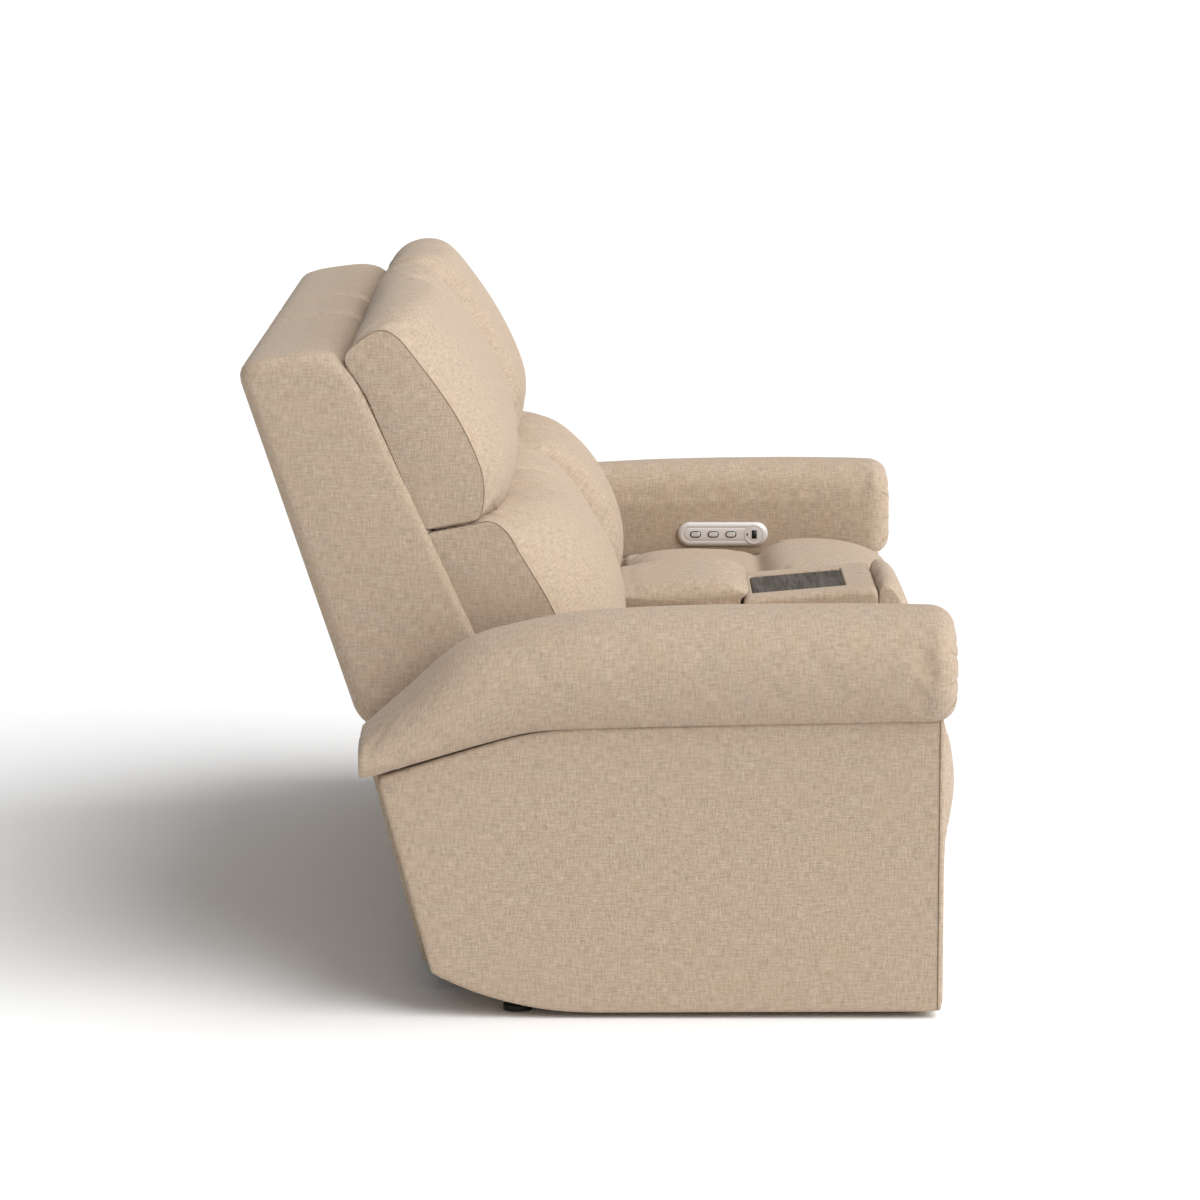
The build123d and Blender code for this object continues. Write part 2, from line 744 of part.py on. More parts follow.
    # Elbow plates: short plates that carry the pins at the knees of the links
    with BuildPart() as elbow_plates:
        inner, outer = layer(2)
        plate_middle = ((elbow[0] + guide_elbow[0]) / 2, (elbow[1] + guide_elbow[1]) / 2)
        for flank in (-1, 1):
            with BuildSketch(Plane.YZ.offset(span(middle, flank, inner, outer))):
                with Locations(plate_middle):
                    SlotCenterToCenter(
                        (guide_step[0] ** 2 + guide_step[1] ** 2) ** 0.5, link_width, rotation=-42.6
                    )
            extrude(amount=steel)
            far = layer(1)[1]
            with BuildSketch(Plane.YZ.offset(span(middle, flank, inner, far))):
                with Locations(elbow, guide_elbow):
                    Circle(pin_width / 2)
            extrude(amount=far - inner)
            near = layer(3)[0]
            with BuildSketch(Plane.YZ.offset(span(middle, flank, near, inner))):
                with Locations(elbow):
                    Circle(pin_width / 2)
            extrude(amount=inner - near)
    elbow_plates.part.label = hand + "_elbow_plates"
    export_step(elbow_plates.part, "parts/" + hand + "_elbow_plates.step")

    # Reach links: from the knees up to the footrest
    with BuildPart() as reach_links:
        inner, outer = layer(3)
        bar_middle = ((foot_pin[0] + elbow[0]) / 2, (foot_pin[1] + elbow[1]) / 2)
        for flank in (-1, 1):
            with BuildSketch(Plane.YZ.offset(span(middle, flank, inner, outer))):
                with Locations(bar_middle):
                    SlotCenterToCenter(link_length, link_width, rotation=-fold_angle)
                with Locations(foot_pin, elbow):
                    Circle(bore / 2, mode=Mode.SUBTRACT)
            extrude(amount=steel)
    reach_links.part.label = hand + "_reach_links"
    export_step(reach_links.part, "parts/" + hand + "_reach_links.step")

    # Footrest board with two lugs on its rear side
    with BuildPart() as footrest_board:
        with BuildSketch(Plane.XZ.offset(-board_rear)):
            with Locations((middle, (board_top + board_bottom) / 2)):
                RectangleRounded(2 * frame_half, board_top - board_bottom, 20)
        extrude(amount=board_thickness)
        inner, outer = layer(4)
        for flank in (-1, 1):
            with BuildSketch(Plane.YZ.offset(span(middle, flank, inner, outer))):
                with BuildLine():
                    Polyline(
                        (board_rear, foot_pin[1] - 30),
                        (foot_pin[0], foot_pin[1] - 13),
                        (foot_pin[0], foot_pin[1] + 13),
                        (board_rear, foot_pin[1] + 13),
                        close=True,
                    )
                make_face()
                with Locations(foot_pin):
                    Circle(13)
            extrude(amount=steel)
            with BuildSketch(Plane.YZ.offset(span(middle, flank, outer, outer + layer_gap + steel))):
                with Locations(foot_pin):
                    Circle(pin_width / 2)
            extrude(amount=layer_gap + steel)
    footrest_board.part.label = hand + "_footrest_board"
    export_step(footrest_board.part, "parts/" + hand + "_footrest_board.step")

    # Footrest pad: fullest in its upper half, drawn in towards its sides
    with BuildPart() as footrest_pad:
        for reach, share in crown:
            full = board_front - 26 - 22 * share
            with BuildSketch(Plane.YZ.offset(middle + reach * cushion_half)):
                with BuildLine():
                    Polyline(
                        (full + 10, board_bottom + 140),
                        (full + 14, board_bottom + 16),
                        (full + 22, board_bottom),
                        (board_front, board_bottom),
                        (board_front, board_top),
                        (full + 12, board_top),
                    )
                    ThreePointArc(
                        (full + 12, board_top),
                        (full, (board_top + board_bottom + 140) / 2 - 6),
                        (full + 10, board_bottom + 140),
                    )
                make_face()
        loft()
    footrest_pad.part.label = hand + "_footrest_pad"
    export_step(footrest_pad.part, "parts/" + hand + "_footrest_pad.step")

    # Back shell: the padded outer slab of the back, with bores for the lumbar guides
    with BuildPart() as back_shell:
        shell_half = seat_width / 2
        for across, shrink in ((-shell_half, 0.96), (10 - shell_half, 1.0),
                               (shell_half - 10, 1.0), (shell_half, 0.96)):
            edge = shell_outline(shrink)
            with BuildSketch(Plane.YZ.offset(middle + across)):
                with BuildLine():
                    Polyline(edge[0], edge[1], edge[2], edge[3])
                    ThreePointArc(edge[3], edge[4], edge[5])
                    Line(edge[5], edge[6])
                    ThreePointArc(edge[6], edge[7], edge[0])
                make_face()
        loft(ruled=True)
        with BuildSketch(Plane.XZ.offset(-260)):
            with Locations((middle - 80, rod_height), (middle + 80, rod_height)):
                Circle(6 + play)
        extrude(amount=120, mode=Mode.SUBTRACT)
    back_shell.part.label = hand + "_back_shell"
    export_step(back_shell.part, "parts/" + hand + "_back_shell.step")

    # Steel brackets of the back: pivot plates under the shell and hinge arms for the headrest
    head_pin = (166.0, head_bottom - 11)
    with BuildPart() as back_brackets:
        inner, outer = layer(1)
        for flank in (-1, 1):
            with BuildSketch(Plane.YZ.offset(span(middle, flank, inner, outer))):
                with BuildLine():
                    Polyline(
                        (pivot[0] - 22, pivot[1]),
                        (pivot[0] - 46, shell_bottom),
                        (pivot[0] + 54, shell_bottom),
                        (pivot[0] + 22, pivot[1]),
                        close=True,
                    )
                make_face()
                with Locations(pivot):
                    Circle(22)
                    Circle(pin_width * 0.8 + play, mode=Mode.SUBTRACT)
            extrude(amount=steel)
            with BuildSketch(Plane.XY.offset(shell_bottom - steel)):
                with Locations((middle + flank * (inner - 14), pivot[0] + 4)):
                    Rectangle(28, 100)
            extrude(amount=steel)
            with BuildSketch(Plane.YZ.offset(span(middle, flank, 180, 184))):
                with BuildLine():
                    Polyline(
                        (head_pin[0], head_pin[1] - 7),
                        (front_of_shell(head_pin[1] - 7), head_pin[1] - 7),
                        (front_of_shell(head_pin[1] + 6), head_pin[1] + 6),
                        (head_pin[0], head_pin[1] + 6),
                        close=True,
                    )
                make_face()
                with Locations(head_pin):
                    Circle(7)
            extrude(amount=4)
            with BuildSketch(Plane.YZ.offset(span(middle, flank, 184, 190))):
                with Locations(head_pin):
                    Circle(4)
            extrude(amount=6)
    back_brackets.part.label = hand + "_back_brackets"
    export_step(back_brackets.part, "parts/" + hand + "_back_brackets.step")

    # Lumbar cushion: strongly crowned, with a pocket behind it for the paddle
    with BuildPart() as lumbar_cushion:
        for reach, share in lean:
            edge = between(lumbar_side, lumbar_full, share)
            with BuildSketch(Plane.YZ.offset(middle + side * reach * (seat_width / 2 - 8))):
                with BuildLine():
                    ThreePointArc(edge[1], edge[4], edge[0])
                    Polyline(
                        edge[0],
                        (front_of_shell(lumbar_bottom), lumbar_bottom),
                        (front_of_shell(lumbar_top), lumbar_top),
                        edge[3],
                    )
                    ThreePointArc(edge[3], edge[2], edge[1])
                make_face()
        loft()
        with BuildSketch(Plane.YZ.offset(middle - 150)):
            with BuildLine():
                Polyline(
                    (front_of_shell(rod_height - 90) - 50, rod_height - 90),
                    (front_of_shell(rod_height - 90) + 5, rod_height - 90),
                    (front_of_shell(rod_height + 90) + 5, rod_height + 90),
                    (front_of_shell(rod_height + 90) - 50, rod_height + 90),
                    close=True,
                )
            make_face()
        extrude(amount=300, mode=Mode.SUBTRACT)
    lumbar_cushion.part.label = hand + "_lumbar_cushion"
    export_step(lumbar_cushion.part, "parts/" + hand + "_lumbar_cushion.step")

    # Lumbar paddle: a plate on two guide rods that run in the shell
    with BuildPart() as lumbar_paddle:
        with BuildSketch(Plane.YZ.offset(middle - 140)):
            with BuildLine():
                Polyline(
                    (front_of_shell(rod_height - 80) - 2 - paddle_thickness, rod_height - 80),
                    (front_of_shell(rod_height - 80) - 2, rod_height - 80),
                    (front_of_shell(rod_height + 80) - 2, rod_height + 80),
                    (front_of_shell(rod_height + 80) - 2 - paddle_thickness, rod_height + 80),
                    close=True,
                )
            make_face()
        extrude(amount=280)
        with BuildSketch(Plane.XZ.offset(-255)):
            with Locations((middle - 80, rod_height), (middle + 80, rod_height)):
                Circle(6)
        extrude(amount=255 - front_of_shell(rod_height) + 2 + paddle_thickness / 2)
    lumbar_paddle.part.label = hand + "_lumbar_paddle"
    export_step(lumbar_paddle.part, "parts/" + hand + "_lumbar_paddle.step")

    # Headrest frame: a bent steel tray under and behind the pillow, with two hinge lugs
    with BuildPart() as headrest_frame:
        with BuildSketch(Plane.YZ.offset(middle - 230)):
            with BuildLine():
                Polyline(
                    (160, head_bottom - 3),
                    (front_of_shell(head_bottom - 3) - 4, head_bottom - 3),
                    (front_of_shell(head_seat + 12) - 4, head_seat + 12),
                    (front_of_shell(head_seat + 12) - 8, head_seat + 12),
                    (front_of_shell(head_bottom) - 8, head_bottom),
                    (160, head_bottom),
                    close=True,
                )
            make_face()
        extrude(amount=460)
        for flank in (-1, 1):
            with BuildSketch(Plane.YZ.offset(span(middle, flank, 185, 189))):
                with Locations(head_pin):
                    Circle(8)
                with Locations((head_pin[0], head_pin[1] + 4)):
                    Rectangle(12, 9)
                with Locations(head_pin):
                    Circle(4 + play, mode=Mode.SUBTRACT)
            extrude(amount=4)
    headrest_frame.part.label = hand + "_headrest_frame"
    export_step(headrest_frame.part, "parts/" + hand + "_headrest_frame.step")

    # Headrest pillow: rounded over the top of the shell, drawn in at its side seams
    with BuildPart() as headrest_pillow:
        for reach, share in lean:
            edge = between(head_side, head_full, share)
            with BuildSketch(Plane.YZ.offset(middle + side * reach * (seat_width / 2 - 8))):
                with BuildLine():
                    ThreePointArc(edge[1], edge[6], edge[0])
                    Polyline(
                        edge[0],
                        (front_of_shell(head_bottom) - 8, head_bottom),
                        (front_of_shell(head_seat + 16) - 8, head_seat + 16),
                        edge[5],
                    )
                    ThreePointArc(edge[5], edge[4], edge[3])
                    ThreePointArc(edge[3], edge[2], edge[1])
                make_face()
        loft()
    headrest_pillow.part.label = hand + "_headrest_pillow"
    export_step(headrest_pillow.part, "parts/" + hand + "_headrest_pillow.step")
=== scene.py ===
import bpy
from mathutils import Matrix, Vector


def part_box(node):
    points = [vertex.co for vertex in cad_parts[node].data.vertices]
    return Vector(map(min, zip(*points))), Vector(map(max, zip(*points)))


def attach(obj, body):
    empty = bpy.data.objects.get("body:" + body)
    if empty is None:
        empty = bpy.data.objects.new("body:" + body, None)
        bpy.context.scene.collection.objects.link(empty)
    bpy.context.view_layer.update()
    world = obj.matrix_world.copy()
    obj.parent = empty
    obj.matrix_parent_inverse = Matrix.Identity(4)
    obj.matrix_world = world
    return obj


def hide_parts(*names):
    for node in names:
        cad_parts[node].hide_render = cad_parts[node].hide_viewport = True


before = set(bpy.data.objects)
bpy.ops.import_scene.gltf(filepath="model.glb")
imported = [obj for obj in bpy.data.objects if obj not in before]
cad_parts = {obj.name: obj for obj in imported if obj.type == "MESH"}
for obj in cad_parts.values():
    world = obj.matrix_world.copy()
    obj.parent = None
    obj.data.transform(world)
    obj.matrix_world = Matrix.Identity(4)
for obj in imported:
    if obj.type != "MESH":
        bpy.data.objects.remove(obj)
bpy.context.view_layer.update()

import math

import bpy
import numpy as np

# Timber rails, steel channels, plates and links, and the plastic glides and motors.
# They carry the loveseat and are bolted, welded or pinned.
# Most of them show only from below or when it reclines.


def shader(name, colour, roughness, metallic=0.0):
    """A plain material: one colour, roughness and metallic value on the shader's own sockets."""
    material = bpy.data.materials.new(name)
    material.use_nodes = True
    surface = material.node_tree.nodes["Principled BSDF"]
    surface.inputs["Base Color"].default_value = (*colour, 1.0)
    surface.inputs["Roughness"].default_value = roughness
    surface.inputs["Metallic"].default_value = metallic
    return material


def paint(material, names):
    """Gives one material to CAD nodes that are shown as they are."""
    for name in names:
        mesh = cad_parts[name].data
        mesh.materials.clear()
        mesh.materials.append(material)


hands = ((-1, "left"), (1, "right"))
steel_pieces = (
    "carriage_frame",
    "drive_nut",
    "lift_links",
    "guide_links",
    "elbow_plates",
    "reach_links",
    "back_brackets",
    "lumbar_paddle",
)
steel = shader("black_steel", (0.022, 0.022, 0.024), 0.42, 0.35)
timber = shader("bare_timber", (0.47, 0.35, 0.23), 0.8)
black_plastic = shader("black_plastic", (0.012, 0.012, 0.012), 0.55)
lining = shader("lining_cloth", (0.36, 0.28, 0.21), 0.95)
paint(steel, ["slide_rails", "lid_hinge"])
paint(timber, ["base_rails"])
paint(black_plastic, ["glides", "power_supply", "usb_ports"])
for _, hand in hands:
    paint(steel, [hand + "_" + name for name in steel_pieces])
    paint(timber, [hand + "_seat_frame", hand + "_footrest_board"])
    paint(black_plastic, [hand + "_recline_motor"])
    paint(lining, [hand + "_headrest_frame"])

# Arms: plywood boxes covered in oatmeal basket-weave cloth, each under a fat stuffed roll.
# The roll overhangs the panel outwards, tapers down behind and is gathered into small tucks
# at the front. Thin dark lines of painted shade lie in the tucks and down the panel's front seam.


def cloth(name, light, dark, tan):
    """Woven upholstery: crossing slub threads shade the cloth, broad blotches tint it.

    Threads are noise drawn long one way and thin the other, once each way. A fine basket, the
    product of two sines, lifts the surface together with the threads.
    """
    weave_pitch = 0.0034
    thin, long = 430.0, 55.0
    thread_contrast, basket_contrast = 1.5, 0.10
    blotch_gain, blotch_cut, blotch_share = 2.6, 1.05, 0.34
    raise_by, basket_lift = 0.7, 0.3
    material = bpy.data.materials.new(name)
    material.use_nodes = True
    nodes = material.node_tree.nodes
    links = material.node_tree.links
    surface = nodes["Principled BSDF"]
    place = nodes.new("ShaderNodeUVMap")
    place.uv_map = "UVMap"

    def threads(across, along, detail):
        stretch = nodes.new("ShaderNodeMapping")
        stretch.inputs["Scale"].default_value = (across, along, 1.0)
        links.new(place.outputs["UV"], stretch.inputs["Vector"])
        noise = nodes.new("ShaderNodeTexNoise")
        noise.inputs["Scale"].default_value = 1.0
        noise.inputs["Detail"].default_value = detail
        noise.inputs["Roughness"].default_value = 0.6
        links.new(stretch.outputs["Vector"], noise.inputs["Vector"])
        return noise.outputs["Fac"]

    def sums(kind, a, b):
        node = nodes.new("ShaderNodeMath")
        node.operation = kind
        for socket, value in zip(node.inputs, (a, b)):
            if isinstance(value, float):
                socket.default_value = value
            else:
                links.new(value, socket)
        return node.outputs["Value"]

    def mix(factor, a, b):
        node = nodes.new("ShaderNodeMix")
        node.data_type = "RGBA"
        node.clamp_factor = True
        links.new(factor, node.inputs["Factor"])
        for socket, value in zip((node.inputs["A"], node.inputs["B"]), (a, b)):
            if isinstance(value, tuple):
                socket.default_value = (*value, 1.0)
            else:
                links.new(value, socket)
        return node.outputs["Result"]

    parts = nodes.new("ShaderNodeSeparateXYZ")
    links.new(place.outputs["UV"], parts.inputs["Vector"])
    turns = 2 * math.pi / weave_pitch
    wave_u = sums("SINE", sums("MULTIPLY", parts.outputs["X"], turns), 0.0)
    wave_v = sums("SINE", sums("MULTIPLY", parts.outputs["Y"], turns), 0.0)
    basket = sums("MULTIPLY", wave_u, wave_v)
    yarn = sums("ADD", threads(thin, long, 2.0), threads(long, thin, 2.0))
    shade = sums("ADD", sums("MULTIPLY", sums("SUBTRACT", yarn, 1.0), thread_contrast), 0.5)
    shade = sums("ADD", shade, sums("MULTIPLY", basket, basket_contrast))
    blotch = sums("MULTIPLY", threads(13.0, 34.0, 3.0), blotch_gain)
    blotch = sums("MULTIPLY", sums("SUBTRACT", blotch, blotch_cut), blotch_share)
    links.new(mix(blotch, mix(shade, dark, light), tan), surface.inputs["Base Color"])
    surface.inputs["Roughness"].default_value = 0.92
    surface.inputs["Specular IOR Level"].default_value = 0.15
    surface.inputs["Sheen Weight"].default_value = 0.12
    surface.inputs["Sheen Roughness"].default_value = 0.5
    bump = nodes.new("ShaderNodeBump")
    bump.inputs["Strength"].default_value = 0.35
    bump.inputs["Distance"].default_value = 0.0012
    height = sums("MULTIPLY", yarn, raise_by)
    height = sums("ADD", height, sums("MULTIPLY", basket, basket_lift))
    links.new(height, bump.inputs["Height"])
    links.new(bump.outputs["Normal"], surface.inputs["Normal"])
    return material


def resample(curve, count):
    """The same closed curve in equal steps of its length."""
    closed = np.vstack([curve, curve[:1]])
    steps = np.linalg.norm(np.diff(closed, axis=0), axis=1)
    length = np.concatenate([[0], np.cumsum(steps)])
    at = np.linspace(0, length[-1], count, endpoint=False)
    return np.stack([np.interp(at, length, closed[:, axis]) for axis in range(2)], 1)


def loop(points, radius, count):
    """Closed outline in metres from corners in millimetres, in equal steps.

    Each corner is rounded by a quadratic curve, which starts and ends a radius away from the
    corner along its two sides, or just under half a side away where the side is short.
    """
    nearly_half = 0.49
    corner = np.array(points, float) / 1000
    before = np.roll(corner, 1, 0) - corner
    after = np.roll(corner, -1, 0) - corner
    reach = np.broadcast_to(np.asarray(radius, float) / 1000, len(corner))
    far_before = np.linalg.norm(before, axis=1)
    far_after = np.linalg.norm(after, axis=1)
    enter = np.minimum(reach, nearly_half * far_before)[:, None]
    enter = corner + before / far_before[:, None] * enter
    leave = np.minimum(reach, nearly_half * far_after)[:, None]
    leave = corner + after / far_after[:, None] * leave
    t = np.linspace(0, 1, 15)[None, :, None]
    curve = (1 - t) ** 2 * enter[:, None] + 2 * t * (1 - t) * corner[:, None] + t**2 * leave[:, None]
    return resample(curve.reshape(-1, 2), count)


def inset(curve, depth):
    """A closed outline moved inwards along its normals."""
    tangent = np.roll(curve, -1, 0) - np.roll(curve, 1, 0)
    normal = np.stack([-tangent[:, 1], tangent[:, 0]], 1)
    normal /= np.linalg.norm(normal, axis=1)[:, None] + 1e-12
    x, y = curve[:, 0], curve[:, 1]
    area = np.sum(x * np.roll(y, -1) - np.roll(x, -1) * y)
    return curve + normal * depth * np.sign(area)


def draw_in(curve, depth):
    """A closed outline scaled towards its middle, so that its far sides move in by a depth.

    It is scaled along its two main directions, which are those of its points' covariance.
    """
    middle = curve.mean(0)
    axes = np.linalg.eigh(np.cov((curve - middle).T))[1]
    local = (curve - middle) @ axes
    reach = (local.max(0) - local.min(0)) / 2
    return middle + (local * (1 - depth / reach)) @ axes.T


def skin(name, rings, planar=0, axes=(1, 2), held=None):
    """Closed mesh over rings of points, with cloth coordinates in metres.

    Cloth runs around and along the rings. The planar rows at both ends take flat coordinates on
    the given axes instead. Points marked as held are kept in a group for the swelling of a case.
    """
    closed = np.concatenate([rings, rings[:, :1]], 1)
    turn = np.cross(closed[:-1, 1:] - closed[:-1, :-1], closed[1:, :-1] - closed[:-1, :-1])
    if np.sum(turn * (closed[:-1, :-1] - rings.mean((0, 1)))) < 0:
        rings = rings[:, ::-1]
        held = None if held is None else held[:, ::-1]
        closed = np.concatenate([rings, rings[:, :1]], 1)
    rows, columns = rings.shape[:2]
    index = np.arange(rows * columns).reshape(rows, columns)
    wrapped = np.concatenate([index, index[:, :1]], 1)

    def corners(grid):
        return np.stack([grid[:-1, :-1], grid[:-1, 1:], grid[1:, 1:], grid[1:, :-1]], 2)

    faces = corners(wrapped[..., None])[..., 0].reshape(-1, 4).tolist()
    faces += [index[0, ::-1].tolist(), index[-1].tolist()]
    mesh = bpy.data.meshes.new(name)
    mesh.from_pydata(rings.reshape(-1, 3).tolist(), [], faces)
    around = np.linalg.norm(np.diff(closed, axis=1), axis=2)
    around = np.concatenate([[0], np.cumsum(around[np.argmax(around.sum(1))])])
    along = np.median(np.linalg.norm(np.diff(rings, axis=0), axis=2), axis=1)
    along = np.concatenate([[0], np.cumsum(along)])
    flat = closed[:, :, list(axes)]
    uv = corners(np.stack(np.meshgrid(around, along), -1))
    end = np.arange(rows - 1)
    end = (end < planar) | (end >= rows - 1 - planar)
    uv = np.where(end[:, None, None, None], corners(flat), uv)
    ends = np.concatenate([flat[0, :columns][::-1], flat[-1, :columns]])
    uv = np.concatenate([uv.reshape(-1, 2), ends])
    mesh.uv_layers.new(name="UVMap").data.foreach_set("uv", uv.astype(np.float32).ravel())
    mesh.polygons.foreach_set("use_smooth", np.ones(len(mesh.polygons), bool))
    piece = bpy.data.objects.new(name, mesh)
    bpy.context.collection.objects.link(piece)
    if held is not None:
        group = piece.vertex_groups.new(name="held")
        group.add(np.flatnonzero(held).tolist(), 1.0, "REPLACE")
    return piece


def dress(piece, material, body, nodes):
    """Gives a piece its material and moving body, and hides the CAD nodes it stands for."""
    piece.data.materials.append(material)
    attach(piece, body)
    if nodes:
        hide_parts(*nodes)


def shrink(ring, factors, lift, axis):
    """Rows that draw one ring in towards its middle, while the middle swells out along an axis.

    A row scaled by a factor is lifted by the lift times one less the square of that factor.
    """
    middle = ring.mean(0)
    k = np.asarray(factors)[:, None, None]
    rows = middle + (ring - middle) * k
    rows[..., axis] += lift * (1 - k[..., 0] ** 2)
    return rows


def puff(piece, travel):
    """Swells a case as cloth under air pressure, with its held points fixed.

    Each point's travel is limited by a hyperbolic tangent, so that none moves further than given.
    """
    frames = 20
    group = piece.vertex_groups["held"]
    mesh = piece.data
    start = np.empty(len(mesh.vertices) * 3, np.float32)
    mesh.vertices.foreach_get("co", start)
    modifier = piece.modifiers.new("swell", "CLOTH")
    sewn = modifier.settings
    sewn.quality = 5
    sewn.mass = 0.3
    sewn.tension_stiffness = 15.0
    sewn.compression_stiffness = 15.0
    sewn.bending_stiffness = 0.6
    sewn.use_pressure = True
    sewn.uniform_pressure_force = 4.0
    sewn.shrink_min = -0.015
    sewn.vertex_group_mass = "held"
    sewn.effector_weights.gravity = 0.0
    for step in range(1, frames + 1):
        bpy.context.scene.frame_set(step)
    swollen = piece.evaluated_get(bpy.context.evaluated_depsgraph_get()).to_mesh()
    end = np.empty_like(start)
    swollen.vertices.foreach_get("co", end)
    piece.modifiers.remove(modifier)
    piece.vertex_groups.remove(group)
    bpy.context.scene.frame_set(1)
    move = (end - start).reshape(-1, 3)
    length = np.linalg.norm(move, axis=1)[:, None]
    move *= travel * np.tanh(length / travel) / (length + 1e-9)
    mesh.vertices.foreach_set("co", (start + move.ravel()).astype(np.float32))
    mesh.update()


def twin(piece, name):
    """The same case mirrored to the other side."""
    mesh = piece.data.copy()
    place = np.empty(len(mesh.vertices) * 3, np.float32)
    mesh.vertices.foreach_get("co", place)
    place[::3] *= -1
    mesh.vertices.foreach_set("co", place)
    mesh.flip_normals()
    mesh.materials.clear()
    other = bpy.data.objects.new(name, mesh)
    bpy.context.collection.objects.link(other)
    return other


def shade_line(name, path, radius, material, body):
    """Thin line of painted shade along a path of points: a six-sided tube, square to the path at each
    point.
    """
    path = np.asarray(path, float)
    tangent = np.gradient(path, axis=0)
    tangent /= np.linalg.norm(tangent, axis=1)[:, None] + 1e-12
    off_axis = np.array([0.31, 0.17, 0.93])
    first = np.cross(tangent, off_axis)
    first /= np.linalg.norm(first, axis=1)[:, None]
    second = np.cross(tangent, first)
    angle = np.linspace(0, 2 * np.pi, 6, endpoint=False)
    rings = (
        path[:, None]
        + radius * np.cos(angle)[None, :, None] * first[:, None]
        + radius * np.sin(angle)[None, :, None] * second[:, None]
    )
    dress(skin(name, rings), material, body, [])


fabric = cloth("oatmeal_weave", (0.565, 0.455, 0.35), (0.345, 0.262, 0.19), (0.50, 0.36, 0.235))
# Dark brown for thin lines of painted shade in the seams and tucks of the cloth.
seam_shade = shader("seam_shadow", (0.20, 0.135, 0.085), 0.95)
shade_radius = 0.0004
crown_at = [-474, -321, -204, -87, 29, 99, 146, 182, 210, 234, 263, 293, 322, 340, 352]
crown_height = [585, 586, 585, 582, 576, 564, 553, 543, 529, 511, 482, 455, 430, 412, 402]
under_at = [-490, -473, -318, -86, 52, 98, 127, 185, 243, 290, 327, 352]
under_height = [431, 430, 427, 423, 419, 417, 412, 396, 379, 365, 355, 348]
roll_shape = loop(
    [
        (0, 0), (0, 600), (40, 880), (250, 1000), (540, 1005), (800, 915),
        (965, 720), (1008, 500), (975, 250), (890, 70), (790, 0),
    ],
    [10, 300, 250, 250, 250, 250, 250, 250, 220, 140, 60],
    96,
)
roll_inner, roll_middle, roll_width = -0.7555, -0.85, 0.1945
roll_front, roll_rear = -0.464, 0.350
nose_rows, nose_length, nose_taper = 11, 0.037, 0.034
tuck_levels, tuck_spread, tuck_depth = (0.88, 0.71, 0.38, 0.14), 0.03, 0.003
across, level = roll_shape[:, 0], roll_shape[:, 1]
along = np.linspace(roll_front, roll_rear, 90)
smooth = np.hanning(9) / np.hanning(9).sum()


def eased(at, height):
    """Heights between given points along the roll, averaged over nine rows, in metres."""
    rows = np.pad(np.interp(along * 1000, at, height), 4, mode="edge")
    return np.convolve(rows, smooth, "valid") / 1000


crown = eased(crown_at, crown_height)
under = eased(under_at, under_height)
rings = np.empty((len(along), len(roll_shape), 3))
rings[..., 0] = roll_inner - across * roll_width
rings[..., 1] = along[:, None]
rings[..., 2] = under[:, None] + level * (crown - under)[:, None]
turn = np.linspace(0, np.pi / 2, nose_rows + 1)[1:]
nose = np.repeat(rings[:1], nose_rows, 0)
profile = rings[0][:, ::2]
nose[:, :, ::2] = np.stack([draw_in(profile, nose_taper * (1 - math.cos(a))) for a in turn])
nose[..., 1] = roll_front - nose_length * np.sin(turn)[:, None]
front = np.concatenate([nose, shrink(nose[-1], [0.9, 0.75, 0.55, 0.3, 0.04], 0.005, 1)])
tucks = sum(np.exp(-(((level - at) / tuck_spread) ** 2)) for at in tuck_levels) * (across > 0.02)
tuck_fade = np.concatenate([np.linspace(0, 1, nose_rows), [1.0, 0.8, 0.5, 0.2, 0]])[:, None]
front[..., 1] += tuck_fade * tucks * tuck_depth
rear = shrink(rings[-1], [0.94, 0.8, 0.5, 0.1], 0.004, 1)
rings = np.concatenate([front[::-1], rings, rear])
held = np.zeros(rings.shape[:2], bool)
held[:, (across < 0.01) | (level < 0.03)] = True
held[:9] = True
held[-len(rear) :] = True
roll = skin("left_arm_roll", rings, 5, (0, 2), held)
puff(roll, 0.004)

stuffing = np.empty(rings.size, np.float32)
roll.data.vertices.foreach_get("co", stuffing)
stuffing = stuffing.reshape(rings.shape)
gathered, rim = stuffing[5:12], stuffing[12]
# Lines of painted shade lie in the tucks, just off the rim of the gathered front.
raise_by = 0.0001
folds = []
for at in tuck_levels[1:]:
    height = under[0] + at * (crown[0] - under[0])
    for wrong_half in (rim[:, 0] > roll_middle, rim[:, 0] < roll_middle):
        column = np.argmin(np.abs(rim[:, 2] - height) + wrong_half)
        outwards = gathered[:, column] - gathered.mean(1)
        outwards[:, 1] = 0
        outwards /= np.linalg.norm(outwards, axis=1)[:, None]
        folds.append(gathered[:, column] + raise_by * outwards)

panel_outline = loop(
    [(-484, 436), (-484, 10), (58, 8), (128, 20), (190, 38), (250, 66), (326, 352), (98, 421)],
    [3, 10, 60, 50, 50, 6, 6, 60],
    160,
)
panel_round, panel_outer, panel_faces = 0.006, 0.909, 1.6705
turn = np.linspace(0, np.pi / 2, 6)
outer = np.empty((len(turn), len(panel_outline), 3))
outer[..., 0] = -(panel_outer + panel_round * np.cos(turn))[:, None]
outer[..., 1:] = np.stack([inset(panel_outline, panel_round * (1 - math.sin(a))) for a in turn])
inner = outer[::-1].copy()
inner[..., 0] = -panel_faces - inner[..., 0]
swell = shrink(outer[0], [0.03, 0.2, 0.4, 0.6, 0.75, 0.88, 0.96], -0.004, 0)
rings = np.concatenate([swell, outer, inner, shrink(inner[-1], [0.9, 0.5, 0.05], 0.0, 0)])
panel = skin("left_arm_panel", rings, 8)
seam_y, seam_low, seam_high, seam_radius = -0.4765, 0.014, 0.434, 0.0006
